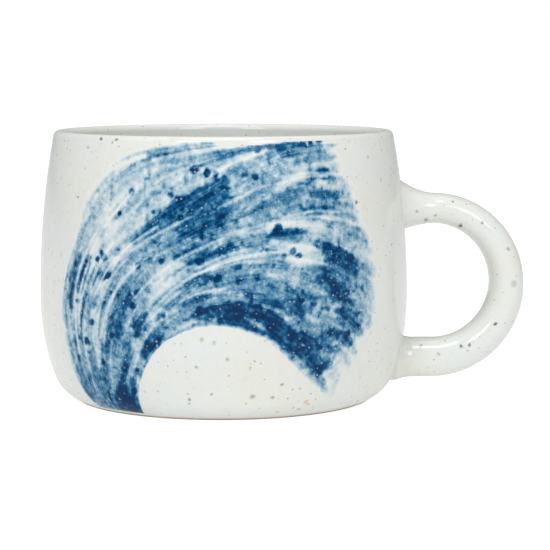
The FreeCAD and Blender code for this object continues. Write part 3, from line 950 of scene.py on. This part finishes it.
def handle_path(pitch=0.6):
    """Points along the middle of the handle: out, round the loop and back in."""
    top_start = wall_radius(TOP_Z) - ROOT_SINK
    bottom_end = wall_radius(BOTTOM_Z) - ROOT_SINK
    out = np.arange(top_start, LOOP_X, pitch)
    back = np.arange(bottom_end, LOOP_X, pitch)[::-1]
    turn_points = arc_points((LOOP_X, LOOP_Z), LOOP_RADIUS, 90, -90, pitch)
    return join(np.column_stack([out, np.full(len(out), TOP_Z)]), turn_points,
                np.column_stack([back, np.full(len(back), BOTTOM_Z)]))


path = handle_path()
print(f"handle loop centre at x {LOOP_X:.1f}, z {LOOP_Z:.1f}, path of {len(path)} points")

HANDLE_SIZES = {        # mm, under the names that the handle tree gives them
    "Top Thickness": TOP_THICKNESS, "Bottom Thickness": BOTTOM_THICKNESS, "Top Width": TOP_WIDTH,
    "Bottom Width": BOTTOM_WIDTH, "Arm": LOOP_X - wall_radius(TOP_Z) + ROOT_SINK,
    "Bend": math.pi * LOOP_RADIUS, "Sink": ROOT_SINK, "Top Flare": 2.5, "Top Run": 9.5, "Bottom Flare": 1.0,
    "Bottom Run": 4.0, "Top Lift": 0.7, "Bottom Lift": 0.3, "Coat": glaze, "Unevenness": 0.16,
}

# %% The handle tree
bender, given = new_tree("bent_strap", {
    "Around": "Int", "Along": "Int", "Material": "Material", **dict.fromkeys(HANDLE_SIZES, "Float")})
grid = add(bender, "GeometryNodeMeshGrid", {"Size X": 1.0, "Size Y": 1.0, "Vertices X": given["Around"],
                                            "Vertices Y": given["Along"]})
place = separate(bender, add(bender, "GeometryNodeInputPosition").outputs[0])
turned = calc(bender, "MULTIPLY", calc(bender, "ADD", place["X"], 0.5), 2 * math.pi)
factor = calc(bender, "ADD", place["Y"], 0.5)
curve = add(bender, "GeometryNodeMeshToCurve", {0: given["Geometry"]})
total = add(bender, "GeometryNodeCurveLength", {0: curve.outputs[0]}).outputs[0]
spot = add(bender, "GeometryNodeSampleCurve", {"Curves": curve.outputs[0], "Factor": factor},
           mode="FACTOR", use_all_curves=True)
distance = calc(bender, "MULTIPLY", factor, total)
share = calc(bender, "DIVIDE", calc(bender, "SUBTRACT", distance, given["Arm"]), given["Bend"],
                  clamp=True)


def taper(first, last):
    """Half of a size that goes from its value at the top of the handle to its value at the bottom."""
    change = calc(bender, "SUBTRACT", given[last], given[first])
    return calc(bender, "MULTIPLY", calc(bender, "MULTIPLY_ADD", share, change, given[first]), 0.5)


def slip_fall(from_end, run):
    """1 at the wall, falling in a hollow curve to 0 where the slip ends on the handle."""
    outside = calc(bender, "SUBTRACT", from_end, given["Sink"])
    share_out = calc(bender, "DIVIDE", outside, given[run])
    share_out = calc(bender, "MINIMUM", calc(bender, "MAXIMUM", share_out, -ROOT_SPREAD), 1.0)
    return calc(bender, "POWER", calc(bender, "SUBTRACT", 1.0, share_out), 2.0)


top_fall = slip_fall(distance, "Top Run")
bottom_fall = slip_fall(calc(bender, "SUBTRACT", total, distance), "Bottom Run")
spread = calc(bender, "MULTIPLY_ADD", top_fall, given["Top Flare"],
                   calc(bender, "MULTIPLY_ADD", bottom_fall, given["Bottom Flare"], given["Coat"]))
lift = calc(bender, "ADD", calc(bender, "MULTIPLY", top_fall, given["Top Lift"]),
                 calc(bender, "MULTIPLY", bottom_fall, given["Bottom Lift"]))
half_thickness = calc(bender, "ADD", taper("Top Thickness", "Bottom Thickness"), spread)
half_width = calc(bender, "ADD", taper("Top Width", "Bottom Width"), spread)


def rounded(value):
    """Sine or cosine raised to the oval's power with its sign kept."""
    size = calc(bender, "POWER", calc(bender, "ABSOLUTE", value), OVAL_POWER)
    return calc(bender, "MULTIPLY", size, calc(bender, "SIGN", value))


tangent = separate(bender, spot.outputs["Tangent"])
outward = combine(bender, calc(bender, "MULTIPLY", tangent["Z"], -1.0), 0.0, tangent["X"])
thick = calc(bender, "MULTIPLY", half_thickness, rounded(calc(bender, "SINE", turned)))
wide = calc(bender, "MULTIPLY", half_width, rounded(calc(bender, "COSINE", turned)))
offset = vector_calc(bender, "ADD", vector_calc(bender, "SCALE", outward, Scale=thick),
                     combine(bender, 0.0, wide, lift))
there = vector_calc(bender, "ADD", spot.outputs["Position"], offset)
lumps = noise(bender, there, 15 * MM)
uneven = calc(bender, "MULTIPLY", calc(bender, "SUBTRACT", lumps, 0.5), given["Unevenness"])
lumpy = vector_calc(bender, "SCALE", vector_calc(bender, "NORMALIZE", offset), Scale=uneven)
there = vector_calc(bender, "ADD", there, lumpy)
strap = add(bender, "GeometryNodeSetPosition", {"Geometry": grid.outputs["Mesh"], "Position": there})
finish_tree(bender, strap.outputs[0], given["Material"])
print("handle tree:", len(bender.nodes), "nodes")

# %% Handle coat
path_points = np.column_stack([path[:, 0], np.zeros(len(path)), path[:, 1]]) * MM
glazed_handle = run_tree("glazed_handle", bender, path_points, {
    "Around": 97, "Along": 260, "Material": handle_glaze,
    **{name: size * MM for name, size in HANDLE_SIZES.items()}})

shell = bmesh.new()
shell.from_mesh(glazed_handle.data)
for vertex in shell.verts:
    x, y, z = vertex.co / MM
    deepest = math.sqrt(float(wall_radius(z))**2 - y**2) - END_DEPTH
    if x < deepest:
        vertex.co.x = deepest * MM
bmesh.ops.remove_doubles(shell, verts=shell.verts, dist=0.002 * MM)
bmesh.ops.holes_fill(shell, edges=[e for e in shell.edges if e.is_boundary], sides=0)
bmesh.ops.recalc_face_normals(shell, faces=shell.faces)
shell.to_mesh(glazed_handle.data)
shell.free()
face_outwards(glazed_handle)

# %% [markdown]
# ## Which piece stands for what
# Each finished piece rides on the mug's one body and takes the place of its CAD node. The bare handle and
# the two slip joints keep their CAD shapes, because they are right and lie under the glaze, and get their
# own clay finishes.

# %% Ride, replace and finish
PIECES = (
    (thrown_cup, "clay_cup", "stoneware_clay"),
    (glazed_outside, "outside_glaze", "white_glaze"),
    (glazed_liner, "liner_glaze", "white_glaze"),
    (brushed_arch, "cobalt_brushwork", "cobalt_pigment"),
    (glazed_handle, "handle_glaze", "white_glaze"),
)
for piece, cad_node, finish in PIECES:
    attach(piece, "root")
    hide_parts(cad_node)

for cad_node, material in (("clay_handle", stoneware), ("upper_slip_joint", joining_slip),
                           ("lower_slip_joint", joining_slip)):
    for material_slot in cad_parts[cad_node].material_slots:
        material_slot.material = material
print([piece.name for piece, _, _ in PIECES])

# %% [markdown]
# ## Floor, light and camera
# A white mug is lit so that its edges stay just darker than the ground: a pale floor under a bright even
# sky, a soft box at either side of the front for the shape, weaker ones at the left, over the top and at the
# back, and nothing hard. The sky that the glaze reflects is a little darker
# than the one behind the mug, as in a studio with the walls out of view.

# %% Floor
FLOOR_GLOW, FLOOR_SEEN = 0.37, 0.75     # light through the sheet, on the mug and straight to the eye


def stage_floor():
    """A large round floor under the foot: white opal sheet, matt, with a little light through it."""
    disc = bmesh.new()
    bmesh.ops.create_circle(disc, cap_ends=True, segments=96, radius=6.0)
    mesh = bpy.data.meshes.new("floor")
    disc.to_mesh(mesh)
    disc.free()
    floor = bpy.data.objects.new("floor", mesh)
    bpy.context.collection.objects.link(floor)
    material, tree, _ = new_material("opal_light_table")
    seen = add(tree, "ShaderNodeLightPath").outputs["Is Camera Ray"]
    through = calc(tree, "MULTIPLY_ADD", seen, FLOOR_SEEN - FLOOR_GLOW, FLOOR_GLOW)
    finish_with(tree, linear("D2D2D2"), Roughness=0.9, Specular_IOR_Level=0.0,
                Emission_Color=(1, 1, 1, 1), Emission_Strength=through)
    mesh.materials.append(material)


stage_floor()
print("floor laid")

# %% Lights
SKY_SEEN, SKY_LIGHT = 1.0, 0.42     # the sky behind the mug, and the one that lights it
MUG_MIDDLE = (0.01, 0.0, 0.035)


def soft_box(name, place, width, height, power):
    """A rectangular soft light that faces the mug."""
    light = bpy.data.lights.new(name, "AREA")
    light.shape = "RECTANGLE"
    light.size, light.size_y = width, height
    light.energy = power
    lamp = bpy.data.objects.new(name, light)
    lamp.location = place
    lamp.rotation_euler = (Vector(MUG_MIDDLE) - Vector(place)).to_track_quat("-Z", "Y").to_euler()
    bpy.context.collection.objects.link(lamp)


for name, *setting in (     # place, width and height in metres, power in watts
        ("front_left", (-0.55, -1.25, 0.75), 0.4, 0.6, 4.7), ("front_right", (0.6, -1.2, 0.7), 0.4, 0.6, 4.3),
        ("left", (-0.75, -0.3, 0.85), 0.5, 0.5, 0.8), ("top", (0.0, -0.25, 1.05), 0.55, 0.35, 3.3),
        ("back", (0.0, 0.4, 1.0), 0.8, 0.5, 1.0)):
    soft_box("soft_box_" + name, *setting)

world = bpy.data.worlds.new("studio")
bpy.context.scene.world = world
world.use_nodes = True
sky = world.node_tree
sky.nodes.clear()
ray = add(sky, "ShaderNodeLightPath")
seen = add(sky, "ShaderNodeBackground", {"Color": (1, 1, 1, 1), "Strength": SKY_SEEN})
lighting = add(sky, "ShaderNodeBackground", {"Color": (0.985, 1.0, 0.99, 1), "Strength": SKY_LIGHT})
both = add(sky, "ShaderNodeMixShader", {0: ray.outputs["Is Camera Ray"], 1: lighting.outputs[0],
                                        2: seen.outputs[0]})
add(sky, "ShaderNodeOutputWorld", {"Surface": both.outputs[0]})
print("lights set")

# %% Camera
CAMERA_PLACE = (0.0, -0.561, 0.0958)
CAMERA_AIM = (0.0142, 0.0, 0.0335)
lens = bpy.data.cameras.new("camera")
lens.lens = 132.4
lens.sensor_width = 36.0
camera = bpy.data.objects.new("camera", lens)
camera.location = CAMERA_PLACE
camera.rotation_euler = (Vector(CAMERA_AIM) - Vector(CAMERA_PLACE)).to_track_quat("-Z", "Y").to_euler()
bpy.context.collection.objects.link(camera)
bpy.context.scene.camera = camera
bpy.context.scene.view_settings.view_transform = "Standard"
print("camera set")
